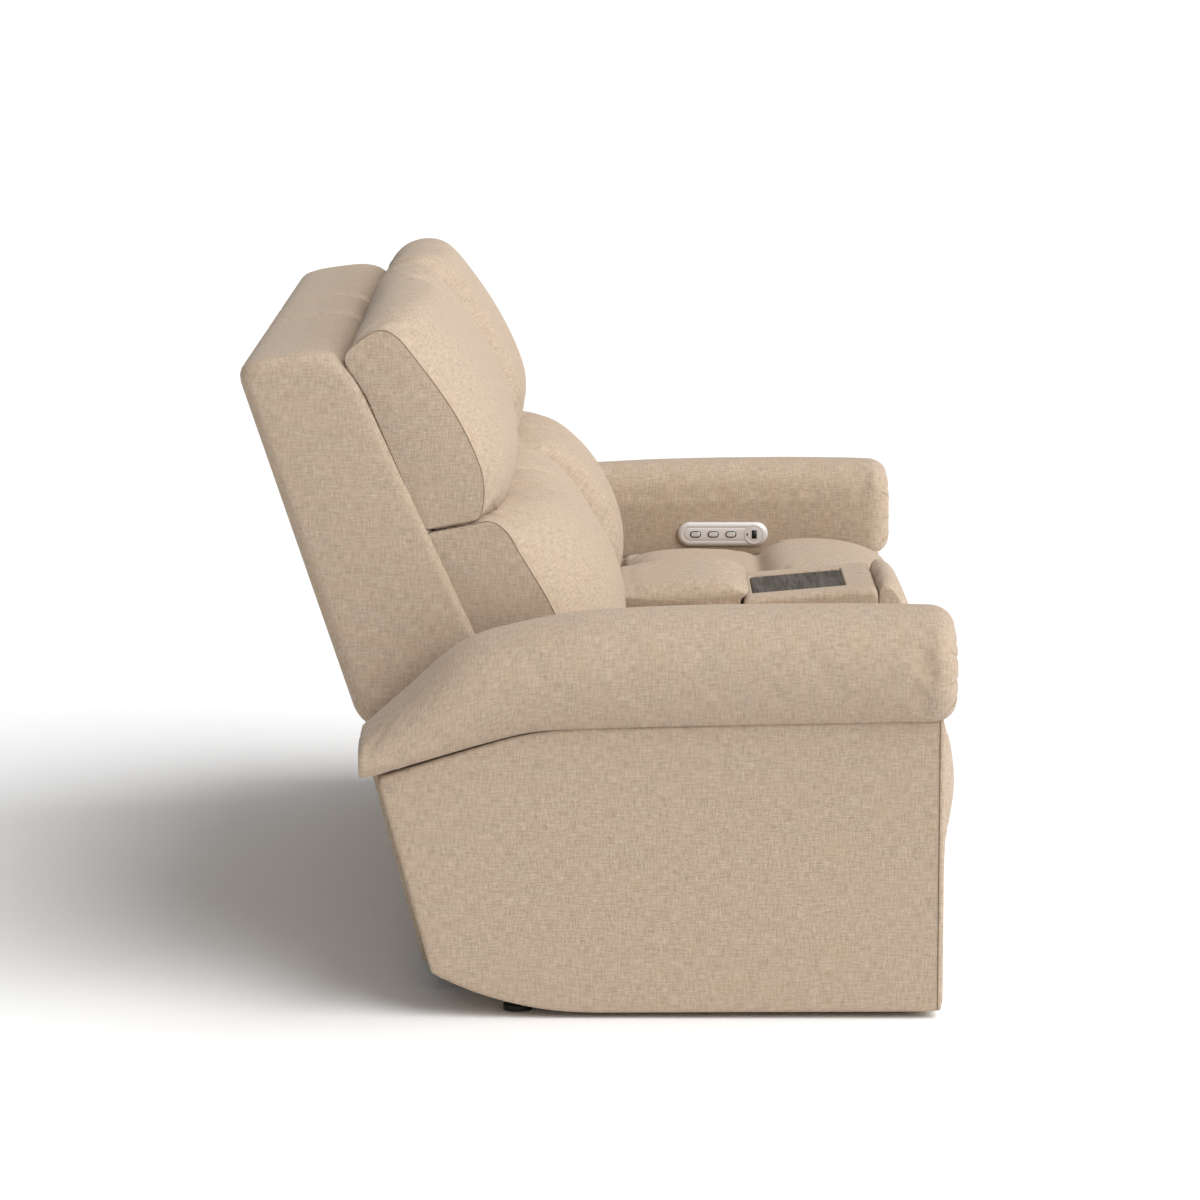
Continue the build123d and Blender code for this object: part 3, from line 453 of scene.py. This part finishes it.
for side, hand in hands:
    if side > 0:
        roll = twin(roll, "right_arm_roll")
        panel = twin(panel, "right_arm_panel")
    dress(roll, fabric, "base", [hand + "_arm_pad"])
    dress(panel, fabric, "base", [hand + "_arm_body"])
    # Painted shade line down the front seam of each arm panel.
    path = np.linspace((side * 0.9155, seam_y, seam_low), (side * 0.9160, seam_y, seam_high), 24)
    shade_line(hand + "_panel_seam_shade", path, seam_radius, seam_shade, "base")
    for number, fold in enumerate(folds):
        shade_line(hand + "_tuck_shade_" + str(number), fold * (-side, 1, 1), shade_radius, seam_shade, "base")

# Rear panel: flat upholstered board that closes the back below the reclining sections.
# It is stapled between the arms and leans with the backs above it.
board, edge_round = 16, 5
low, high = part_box("rear_panel")
outline = loop(
    [
        (1000 * high.y, 1000 * high.z),
        (1000 * low.y + board, 1000 * low.z),
        (1000 * low.y, 1000 * low.z),
        (1000 * high.y - board, 1000 * high.z),
    ],
    edge_round,
    64,
)
across = np.linspace(low.x, high.x, 40)
rings = np.empty((len(across), len(outline), 3))
rings[..., 0] = across[:, None]
rings[..., 1:] = outline
dress(skin("rear_cover", rings), fabric, "base", ["rear_panel"])

# Backs: padded outer slabs with soft edges, one behind each seat and a narrow fixed one behind
# the console. Foam over a steel frame in the same cloth.
# The seat slabs recline, and the console slab is bolted to the console.


def slab(name, left, right, rim):
    """Extruded outline whose edges roll over by a quarter circle at both ends."""
    inside = 12
    swell_factors, swell_height = [0.03, 0.25, 0.5, 0.72, 0.9], 0.003
    turn = np.linspace(0, np.pi / 2, 9)
    edge = np.empty((len(turn), len(shell), 3))
    edge[..., 1:] = np.stack([draw_in(shell, rim * (1 - math.sin(a))) for a in turn])
    edge[..., 0] = (right - rim + rim * np.cos(turn))[:, None]
    middle = np.repeat(edge[-1:], inside, 0)
    middle[..., 0] = np.linspace(right - rim, left + rim, inside + 2)[1:-1, None]
    other = edge[::-1].copy()
    other[..., 0] = left + right - other[..., 0]
    near = shrink(edge[0], swell_factors, swell_height, 0)
    far = shrink(other[-1], swell_factors[::-1], -swell_height, 0)
    return skin(name, np.concatenate([near, edge, middle, other, far]), 6)


shell = loop(
    [(344, 884), (117, 389), (356, 389), (533, 917), (503, 934), (402, 947), (366, 922)],
    [60, 60, 40, 24, 40, 40, 40],
    150,
)
console_slab, seat_slab, slab_fill = 0.1425, (0.1495, 0.7485), 0.6
cover = slab("console_back_cover", -console_slab, console_slab, 0.012)
dress(cover, fabric, "base", ["console_back"])
for side, hand in hands:
    left, right = sorted(side * edge for edge in seat_slab)
    cover = slab(hand + "_back_cover", left, right, 0.024)
    dress(cover, fabric, hand + "_back", [hand + "_back_shell"])

# Headrest pillows and lumbar cushions: stuffed cases with a flat side gusset and a crowned front.
# A thin dark line of painted shade marks the seam where gusset and front join. The pillows tilt on
# their frames, the lumbar cushions are sewn to the backs, and the console has a narrow pad of each
# kind.


def spread(half, count):
    """Distances across a width of two halves, closer together towards both ends by a cosine."""
    return half * (1 - np.cos(np.linspace(0, np.pi, count)))


def stuffed(name, gusset, full, ends, shares, bulge, travel):
    """Closed cushion across X: each row lies between the gusset outline and the full one.

    A row's share says how far. Where the outlines nearly meet, on the side that lies against the
    next piece, the full one is reached within a short distance of the ends. The case is then
    swollen as cloth, held at its gussets and on that side.
    """
    meeting, early_reach = 0.008, 0.025
    factors = [0.03, 0.25, 0.5, 0.75, 0.92, 0.985]
    rows = np.empty((len(ends), len(gusset), 3))
    rows[..., 0] = np.asarray(ends)[:, None]
    still = np.clip(2 - np.linalg.norm(full - gusset, axis=1) / meeting, 0, 1)
    inside = np.abs(ends - ends[0])
    early = np.clip(np.minimum(inside, inside[::-1]) / early_reach, 0, 1)
    weight = shares[:, None] + still * (early - shares)[:, None]
    rows[..., 1:] = gusset + (full - gusset) * weight[..., None]
    out = np.sign(ends[0] - ends[-1])
    first = shrink(rows[0], factors, out * bulge, 0)
    last = shrink(rows[-1], factors[::-1], -out * bulge, 0)
    rings = np.concatenate([first, rows, last])
    held = np.zeros(rings.shape[:2], bool)
    held[:, still > 0.5] = True
    held[: len(first) + 1] = True
    held[-len(last) - 1 :] = True
    piece = skin(name, rings, 6, (1, 2), held)
    puff(piece, travel)
    return piece


def fullness(depth, width, outer, inner, least):
    """Share of the full outline from the outer seam to the inner edge of a cushion.

    It rises from nothing over the outer reach as one less a power of 2.6, and falls over the
    inner reach as a quarter circle to the least share.
    """
    near = 1 - (1 - np.clip(depth / outer, 0, 1)) ** 2.6
    far = np.clip((width - depth) / inner, 0, 1)
    return near * (least + (1 - least) * np.sqrt(1 - (1 - far) ** 2))


def rounded(depth, half, reach):
    """Share that rises from nothing at both ends to one by a quarter circle over a reach."""
    return np.sqrt(1 - (1 - np.clip(np.minimum(depth, 2 * half - depth) / reach, 0, 1)) ** 2)


pillow_gusset = loop(
    [
        (180, 699), (215, 693), (262, 684), (347, 884), (382, 936), (352, 962),
        (322, 978), (298, 965), (222, 866), (184, 790), (173, 745),
    ],
    [14, 12, 6, 20, 20, 14, 14, 20, 80, 50, 40],
    120,
)
pillow_full = loop(
    [
        (150, 687), (215, 689), (257, 684), (341, 884), (376, 943), (352, 996),
        (312, 1012), (270, 1000), (192, 896), (145, 800), (137, 748),
    ],
    [18, 12, 6, 20, 30, 34, 40, 60, 90, 70, 50],
    120,
)
lumbar_gusset = loop(
    [
        (60, 430), (142, 428), (259, 680), (205, 690), (164, 699),
        (143, 683), (118, 640), (72, 565), (54, 500),
    ],
    [20, 6, 6, 20, 14, 16, 60, 60, 60],
    120,
)
lumbar_upper = [
    (134, 428), (253, 680), (205, 693), (150, 701), (106, 705), (74, 691), (18, 634),
]
lumbar_radii = [40, 6, 6, 20, 20, 24, 30, 80, 80, 60]
lumbar_full = loop([(-8, 430), *lumbar_upper, (-20, 556), (-29, 488)], lumbar_radii, 120)
lumbar_clear = loop([(6, 430), *lumbar_upper, (-14, 556), (-10, 488)], lumbar_radii, 120)
case_half, case_outer, case_seam, case_fill = 0.2925, 0.7415, 0.7418, 0.6
depth = spread(case_half, 60)
ends = depth - case_outer
share = fullness(depth, 2 * case_half, 0.30, 0.07, 0.02)
pillow = stuffed("left_head_pillow", pillow_gusset, pillow_full, ends, share, 0.004, 0.008)
share = fullness(depth, 2 * case_half, 0.34, 0.07, 0.18)
lumbar = stuffed("left_lumbar_case", lumbar_gusset, lumbar_full, ends, share, 0.004, 0.008)
for side, hand in hands:
    if side > 0:
        pillow = twin(pillow, "right_head_pillow")
        lumbar = twin(lumbar, "right_lumbar_case")
    cases = (
        (pillow, pillow_gusset, "_headrest", "_headrest_pillow", "_pillow_seam_shade"),
        (lumbar, lumbar_gusset, "_back", "_lumbar_cushion", "_lumbar_seam_shade"),
    )
    for case, gusset, body, node, seam in cases:
        dress(case, fabric, hand + body, [hand + node])
        # Painted shade line round the gusset seam of each cushion.
        line = np.vstack([gusset, gusset[:1]])
        line = np.column_stack([np.full(len(line), side * case_seam), line])
        shade_line(hand + seam, line, shade_radius, seam_shade, hand + body)
pad_half = 0.140
depth = spread(pad_half, 40)
ends = 0.14 - depth
round_over = rounded(depth, pad_half, 0.07)
share = 0.02 + 0.75 * round_over
pad = stuffed("console_head_case", pillow_gusset, pillow_full, ends, share, 0.002, 0.005)
dress(pad, fabric, "base", ["console_head_pad"])
share = 0.22 + 0.56 * round_over
pad = stuffed("console_lumbar_case", lumbar_gusset, lumbar_clear, ends, share, 0.002, 0.005)
dress(pad, fabric, "base", ["console_lumbar_pad"])

# Seat cushions: foam with a raised front bolster, drawn into a crease behind it, on slatted
# timber frames. A skirt of cloth laps over the front of the frame.
# They ride forward with the carriages.


def crowned(depth, half, reach):
    """Share that rises from nothing at both ends to one, over a reach, as one less a power of 2.4."""
    return 1 - (1 - np.clip(np.minimum(depth, 2 * half - depth) / reach, 0, 1)) ** 2.4


seat_skirt = [(86, 383), (-450, 383), (-450, 359), (-455, 359), (-456, 398)]
seat_gusset = loop(
    [
        *seat_skirt, (-480, 400), (-487, 414), (-464, 432), (-414, 442), (-350, 446), (-288, 443),
        (-266, 420), (-246, 430), (-170, 436), (-90, 432), (-40, 426), (-28, 412), (86, 404),
    ],
    [6, 3, 2, 2, 6, 10, 16, 30, 40, 40, 26, 6, 20, 40, 40, 16, 10, 6],
    220,
)
seat_full = loop(
    [
        *seat_skirt, (-488, 399), (-494, 420), (-470, 450), (-418, 469), (-352, 475), (-288, 469),
        (-266, 438), (-246, 449), (-170, 453), (-90, 449), (-40, 440), (-30, 412), (86, 405),
    ],
    [6, 3, 2, 2, 6, 10, 24, 40, 50, 50, 30, 5, 26, 50, 50, 20, 10, 6],
    220,
)
seat_half, seat_outer = 0.287, 0.736
depth = spread(seat_half, 60)
ends = depth - seat_outer
share = crowned(depth, seat_half, 0.20)
seat = stuffed("left_seat_case", seat_gusset, seat_full, ends, share, 0.004, 0.008)
for side, hand in hands:
    if side > 0:
        seat = twin(seat, "right_seat_case")
    dress(seat, fabric, hand + "_carriage", [hand + "_seat_cushion"])

# Footrests: padded boards that hang in front of each seat, fullest in their upper half.
# The padding is stapled round the board and swings up with it.
foot_gusset = loop(
    [
        (-463, 73), (-463, 391), (-490, 393), (-494, 345),
        (-495, 290), (-490, 225), (-490, 110), (-487, 74),
    ],
    [4, 6, 14, 40, 40, 40, 30, 8],
    110,
)
foot_full = loop(
    [
        (-463, 73), (-463, 391), (-499, 395), (-509, 345),
        (-513, 290), (-501, 218), (-494, 110), (-492, 73),
    ],
    [4, 6, 22, 50, 50, 50, 40, 12],
    110,
)
share = crowned(depth, seat_half, 0.09)
pad = stuffed("left_footrest_case", foot_gusset, foot_full, ends, share, 0.003, 0.005)
for side, hand in hands:
    if side > 0:
        pad = twin(pad, "right_footrest_case")
    dress(pad, fabric, hand + "_footrest", [hand + "_footrest_pad"])

# Console: an upholstered box with a storage bin under a padded lid, a sloping front deck and a
# padded front cap, on a plinth that runs back to the rear panel.
# The lid swings on a hinge at its rear, and the deck has a recess for the tray.


def level_rings(sizes):
    """Rings of level rounded rectangles: half width, back, front, height and corner, in mm."""
    rings = []
    for width, back, front, height, corner in sizes:
        flat = loop([(-width, front), (width, front), (width, back), (-width, back)], corner, 96)
        rings.append(np.column_stack([flat, np.full(len(flat), height / 1000)]))
    return np.stack(rings)


bin_walls = (
    (141, -16, -226, 95, 6),
    (141, -16, -226, 280, 6),
    (141, -16, -226, 458, 6),
    (139, -18, -224, 464, 8),
    (134, -22, -220, 466, 10),
    (110, -56, -212, 466, 12),
    (105, -60, -208, 464, 12),
    (105, -60, -208, 300, 12),
    (105, -60, -208, 220, 12),
    (98, -67, -201, 216, 12),
    (6, -130, -138, 216, 3),
)
plinth_walls = (
    (141, 264, -14, 96, 6),
    (141, 276, -14, 140, 6),
    (141, 335, -14, 368, 6),
    (141, 335, -14, 380, 6),
    (138, 331, -11, 386, 8),
    (10, 160, 150, 386, 3),
)
box = skin("console_box", level_rings(bin_walls))
dress(box, fabric, "base", ["console_body"])
dress(skin("console_plinth", level_rings(plinth_walls)), fabric, "base", [])

deck_top, deck_start, deck_slope = 490.5, -226, 0.088
deck_half, deck_round = 129, 12
recess_half, recess_reach, recess_middle, recess_depth, recess_wall = 93, 74.5, -308, 13, 2
front_edge, rear_edge = [-430.5, -430, -428, -424, -418], [-226, -222, -219.5, -219, -219, -219]
front_fall, rear_fall = [14, 9, 4.5, 1.5, 0.3], [0.5, 2, 5, 9, 30, 60]
rows = np.concatenate([front_edge, np.linspace(-410, -232, 120), rear_edge])
fall = np.concatenate([front_fall, np.zeros(120), rear_fall])
corner = np.linspace(0, np.pi / 2, 8)
side_wall = deck_half + deck_round
half = np.concatenate(
    [np.linspace(0, deck_half, 60)[:-1], deck_half + deck_round * np.sin(corner), [side_wall] * 3]
)
drop = np.concatenate([np.zeros(59), deck_round * (1 - np.cos(corner)), [60, 200, 380]])
across = np.concatenate([-half[::-1], half[1:]])
drop = np.concatenate([drop[::-1], drop[1:]])
step_in = np.clip((recess_half - np.abs(across)) / recess_wall, 0, 1)
step_along = np.clip((recess_reach - np.abs(rows - recess_middle)) / recess_wall, 0, 1)
deck = np.empty((len(rows), len(across), 3))
deck[..., 0] = across
deck[..., 1] = rows[:, None]
deck[..., 2] = deck_top - (rows[:, None] - deck_start) * deck_slope - fall[:, None] - drop
deck[..., 2] -= recess_depth * step_in * step_along[:, None]
dress(skin("console_deck", deck / 1000), fabric, "base", [])

lid_edge = loop(
    [
        (-211, 471), (-213, 489), (-221, 493), (-223, 499), (-202, 503),
        (-150, 505), (-18, 492), (-20, 480), (-36, 471),
    ],
    [6, 4, 4, 8, 20, 60, 8, 6, 6],
    100,
)
lid_full = loop(
    [
        (-214, 469), (-217, 489), (-226, 493), (-230, 501), (-206, 516),
        (-150, 520), (-18, 503), (-20, 480), (-36, 469),
    ],
    [6, 4, 6, 16, 36, 60, 14, 8, 6],
    100,
)
lid_half = 0.139
depth = spread(lid_half, 44)
share = rounded(depth, lid_half, 0.05)
lid = stuffed("lid_case", lid_edge, lid_full, lid_half - depth, share, 0.006, 0.002)
dress(lid, fabric, "lid", ["console_lid"])

cap_edge = loop(
    [
        (-433, 46), (-433, 504), (-445, 511), (-460, 498), (-486, 436),
        (-502, 360), (-508, 290), (-500, 225), (-496, 46),
    ],
    [4, 6, 10, 14, 60, 60, 50, 50, 10],
    120,
)
cap_full = loop(
    [
        (-433, 46), (-433, 512), (-447, 519), (-468, 504), (-498, 436),
        (-514, 360), (-526, 290), (-514, 225), (-506, 46),
    ],
    [4, 8, 12, 20, 70, 70, 50, 50, 14],
    120,
)
cap_half = 0.136
depth = spread(cap_half, 44)
share = rounded(depth, cap_half, 0.03)
cap = stuffed("front_cap", cap_edge, cap_full, cap_half - depth, share, 0.007, 0.004)
dress(cap, fabric, "base", ["console_cap"])

# Tray: smoked wood-grain panel dropped into its recess in the console deck.
# Straight grain runs across the console, with darker bands where the rings crowd.
wood = shader("smoked_wood", (0.10, 0.085, 0.072), 0.7)
nodes = wood.node_tree.nodes
links = wood.node_tree.links
surface = nodes["Principled BSDF"]
surface.inputs["Specular IOR Level"].default_value = 0.2
place = nodes.new("ShaderNodeTexCoord")
stretch = nodes.new("ShaderNodeMapping")
stretch.inputs["Scale"].default_value = (6.0, 70.0, 30.0)
links.new(place.outputs["Object"], stretch.inputs["Vector"])
grain = nodes.new("ShaderNodeTexNoise")
grain.inputs["Scale"].default_value = 1.6
grain.inputs["Detail"].default_value = 6.0
grain.inputs["Distortion"].default_value = 1.4
links.new(stretch.outputs["Vector"], grain.inputs["Vector"])
ramp = nodes.new("ShaderNodeValToRGB")
dark_band, pale_band = ramp.color_ramp.elements
dark_band.position, dark_band.color = 0.32, (0.050, 0.043, 0.036, 1.0)
pale_band.position, pale_band.color = 0.7, (0.135, 0.117, 0.100, 1.0)
links.new(grain.outputs["Fac"], ramp.inputs["Fac"])
links.new(ramp.outputs["Color"], surface.inputs["Base Color"])
plate = loop([(-91.5, -381), (91.5, -381), (91.5, -235), (-91.5, -235)], 9, 96)
plate_steps = ((0.0, 0.011), (0.0, 0.0035), (0.0008, 0.0028), (0.004, 0.0028))
rings = np.empty((len(plate_steps), len(plate), 3))
for ring, (margin, sunk) in zip(rings, plate_steps):
    ring[:, :2] = inset(plate, margin)
    ring[:, 2] = deck_top / 1000 - (ring[:, 1] - deck_start / 1000) * deck_slope - sunk
dress(skin("tray_plate", rings), wood, "base", ["tray"])

# Control pods: satin champagne plastic capsules screwed to the inner side of each arm.
# A raised panel holds three rockers in black wells, and a round end disc holds a lamp slit and
# the charging socket, whose opening is a flat black plate: the port's black plastic with painted
# shade of the hole.


def capsule(middle, length, height, x):
    """Ring of a stadium outline standing across X: two half circles joined by straight sides."""
    radius = height / 2
    flat = length / 2 - radius
    angle = np.linspace(-np.pi / 2, 3 * np.pi / 2, 96, endpoint=False)
    y = middle[0] + radius * np.cos(angle) + np.where(np.cos(angle) >= 0, flat, -flat)
    return np.column_stack([np.full(96, x), y, middle[1] + radius * np.sin(angle)])


silver = shader("champagne_plastic", (0.70, 0.665, 0.645), 0.34, 0.15)
bright = shader("bright_rocker", (0.72, 0.70, 0.68), 0.2, 0.45)
pod_height = 0.466
pod_middle, pod_size = (-0.208, pod_height), (0.158, 0.042)
pod_steps = (
    (0.0, 0.7554), (0.0, 0.7500), (0.0008, 0.7488), (0.0040, 0.7468), (0.0060, 0.7462),
    (0.0085, 0.7462), (0.0095, 0.7470), (0.0105, 0.7462), (0.0120, 0.7456), (0.0170, 0.7455),
    (0.0200, 0.7455),
)
disc_middle = (-0.263, pod_height)
disc_steps = (
    (0.0175, 0.7460), (0.0175, 0.7452), (0.0166, 0.7447), (0.0148, 0.7447),
    (0.0143, 0.7451), (0.0134, 0.7448), (0.002, 0.7448),
)
well_places, well_size = (-0.222, -0.191, -0.160), (0.0195, 0.0115)
well_steps = ((0.0, 0.7458), (0.0, 0.7452), (0.003, 0.7452), (0.009, 0.7454))
slit_middle, slit_size = (-0.2505, pod_height), (0.0016, 0.004)
black_port_and_shade = loop([(-267, 459.5), (-259, 459.5), (-259, 472.5), (-267, 472.5)], 1, 24)
inlay_faces = (0.7452, 0.7443)


def inlay(name, rings):
    """A black piece let into the pod, on a skin over its rings."""
    dress(skin(name, np.stack(rings)), black_plastic, "base", [])


for side, hand in hands:
    (length, height), rings = pod_size, []
    for d, x in pod_steps:
        rings.append(capsule(pod_middle, length - 2 * d, height - 2 * d, side * x))
    pod = skin(hand + "_pod", np.stack(rings))
    dress(pod, silver, "base", [hand + "_control_pod"])
    rings = [capsule(disc_middle, 2 * radius, 2 * radius, side * x) for radius, x in disc_steps]
    dress(skin(hand + "_socket_disc", np.stack(rings)), silver, "base", [])
    for number, at in enumerate(well_places):
        (length, height), rings = well_size, []
        for d, x in well_steps:
            rings.append(capsule((at, pod_height), length - d, height - d, side * x))
        inlay(hand + "_rocker_well_" + str(number), rings)
    inlay(hand + "_lamp_slit", [capsule(slit_middle, *slit_size, side * x) for x in inlay_faces])
    # Flat black plate in the socket's opening: the port's black plastic and painted shade of the
    # hole.
    rings = [np.column_stack([np.full(len(black_port_and_shade), side * x), black_port_and_shade]) for x in inlay_faces]
    inlay(hand + "_socket_black_and_shade", rings)
    paint(bright, [hand + "_" + use + "_rocker" for use in ("recline", "headrest", "lumbar")])

# Pale floor and broad soft light: a sun from the front and above, and a sky that is brighter in
# front than behind. The camera sees plain white behind the loveseat.
bpy.ops.mesh.primitive_plane_add(size=160, location=(0, 0, 0))
floor = bpy.context.object
floor.name = "floor"
floor.data.materials.append(shader("pale_floor", (0.97, 0.97, 0.97), 0.9))
world = bpy.data.worlds.new("studio")
bpy.context.scene.world = world
world.use_nodes = True
nodes = world.node_tree.nodes
links = world.node_tree.links
sky = nodes["Background"]
sky.inputs["Color"].default_value = (1.0, 1.0, 1.0, 1.0)
direction = nodes.new("ShaderNodeTexCoord")
parts = nodes.new("ShaderNodeSeparateXYZ")
links.new(direction.outputs["Generated"], parts.inputs["Vector"])
fade = nodes.new("ShaderNodeMapRange")
fade.inputs["From Min"].default_value = -0.6
fade.inputs["From Max"].default_value = 0.6
fade.inputs["To Min"].default_value = 0.62
fade.inputs["To Max"].default_value = 0.24
links.new(parts.outputs["Y"], fade.inputs["Value"])
links.new(fade.outputs["Result"], sky.inputs["Strength"])
white = nodes.new("ShaderNodeBackground")
white.inputs["Color"].default_value = (1.0, 1.0, 1.0, 1.0)
rays = nodes.new("ShaderNodeLightPath")
choose = nodes.new("ShaderNodeMixShader")
links.new(rays.outputs["Is Camera Ray"], choose.inputs["Fac"])
links.new(sky.outputs["Background"], choose.inputs[1])
links.new(white.outputs["Background"], choose.inputs[2])
links.new(choose.outputs["Shader"], nodes["World Output"].inputs["Surface"])
sun = bpy.data.lights.new("window_light", "SUN")
sun.energy = 3.15
sun.angle = math.radians(65)
holder = bpy.data.objects.new("window_light", sun)
holder.rotation_euler = (math.radians(45), 0.0, math.radians(-29))
bpy.context.collection.objects.link(holder)

# Camera of the photograph: a long lens beside the near arm, level with the middle of the
# loveseat along Y, that looks a little down across both arms.
camera = bpy.data.cameras.new("camera")
camera.lens = 147.0
camera.sensor_width = 36.0
camera.clip_end = 400.0
holder = bpy.data.objects.new("camera", camera)
holder.location = (-7.770, 0.0077, 1.6789)
holder.rotation_euler = (math.radians(90 - 8.8735), 0.0, math.radians(-90))
bpy.context.collection.objects.link(holder)
bpy.context.scene.camera = holder
bpy.context.scene.view_settings.view_transform = "Standard"
